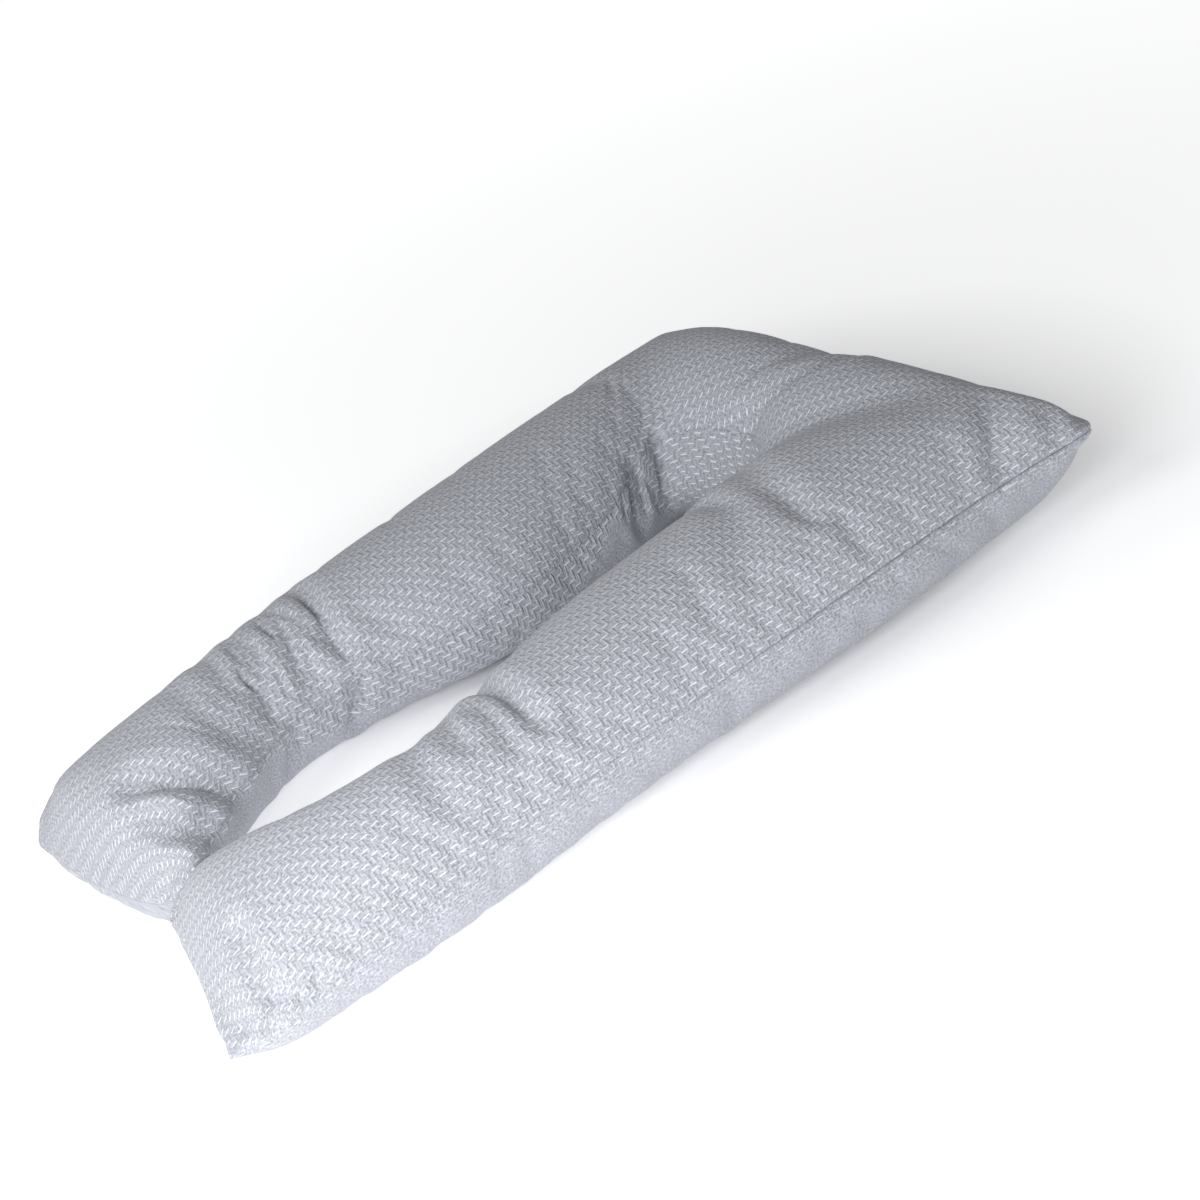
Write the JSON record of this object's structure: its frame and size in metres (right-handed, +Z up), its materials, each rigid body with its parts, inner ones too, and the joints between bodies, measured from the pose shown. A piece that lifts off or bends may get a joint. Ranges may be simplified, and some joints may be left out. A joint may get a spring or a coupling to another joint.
{
  "type": "body pillow",
  "caption": "U-shaped filled body pillow lying flat: two soft legs joined by a closed head, seamed round its edge, with a small bare side tag.",
  "frame": {"origin": "on the surface the pillow lies on, under the middle of its outline", "axes": "+Z up from the surface, +Y along the pillow from the open leg ends to the closed head, +X across it towards the side with the tag"},
  "size_m": [0.8482, 1.3, 0.2006],
  "materials": {
    "grey_knit": "matte knitted herringbone cloth, light heathered grey",
    "white_ribbon": "matte white woven ribbon"
  },
  "bodies": {
    "root": {"pillow": "grey_knit", "side_tag": "white_ribbon"}
  },
  "joints": []
}
